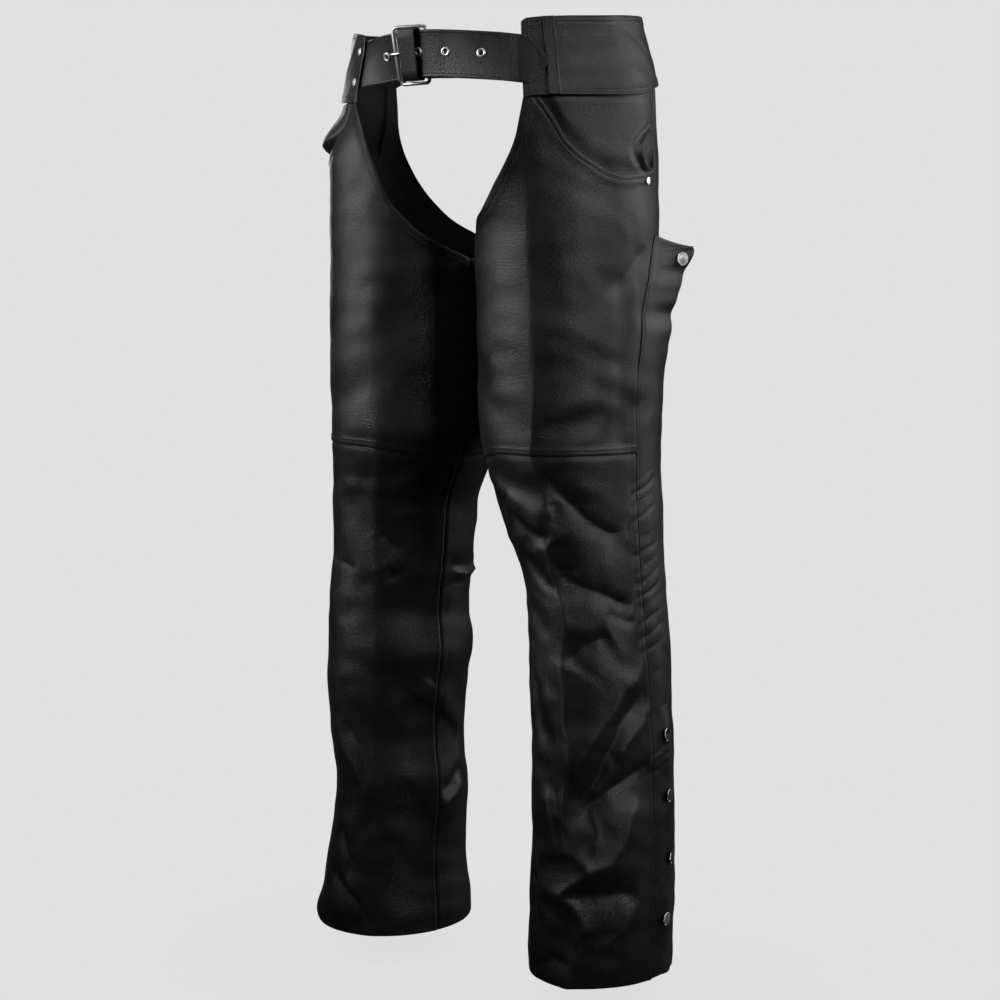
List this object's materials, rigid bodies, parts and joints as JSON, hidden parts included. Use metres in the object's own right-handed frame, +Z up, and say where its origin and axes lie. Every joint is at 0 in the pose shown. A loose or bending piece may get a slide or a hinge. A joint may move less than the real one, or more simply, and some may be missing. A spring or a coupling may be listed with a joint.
{
  "type": "leather chaps",
  "caption": "Leather riding chaps worn over trousers: open-seat leg tubes on a waist yoke with a buckled belt, slant pockets, knee seams and snap-down zip flaps",
  "frame": {"origin": "centre of the waist, level with the middle of the belt", "axes": "+Z up, -Y the way the wearer faces, +X the wearer's left"},
  "size_m": [0.4699, 0.3051, 1.0646],
  "materials": {
    "leather": "semi-matt black cow leather with a fine grain",
    "nickel": "bright nickel plate"
  },
  "bodies": {
    "root": {"yoke_left": "leather", "yoke_right": "leather", "thigh_front_left": "leather", "thigh_front_right": "leather", "thigh_back_left": "leather", "thigh_back_right": "leather", "shin_front_left": "leather", "shin_front_right": "leather", "calf_back_left": "leather", "calf_back_right": "leather", "hip_facing_left": "leather", "hip_facing_right": "leather", "zip_flap_left": "leather", "zip_flap_right": "leather", "belt_tip_strap": "leather", "belt_buckle_strap": "leather", "belt_keeper": "leather", "belt_loop_left": "leather", "buckle_frame": "nickel", "buckle_roller": "nickel", "buckle_prong": "nickel", "eyelet_1": "nickel", "eyelet_2": "nickel", "eyelet_3": "nickel", "eyelet_4": "nickel", "strap_rivet_1": "nickel", "strap_rivet_2": "nickel", "pocket_rivet_left": "nickel", "pocket_rivet_right": "nickel", "snap_1_left": "nickel", "snap_2_left": "nickel", "snap_3_left": "nickel", "snap_4_left": "nickel", "snap_5_left": "nickel", "snap_1_right": "nickel", "snap_2_right": "nickel", "snap_3_right": "nickel", "snap_4_right": "nickel", "snap_5_right": "nickel"}
  },
  "joints": []
}
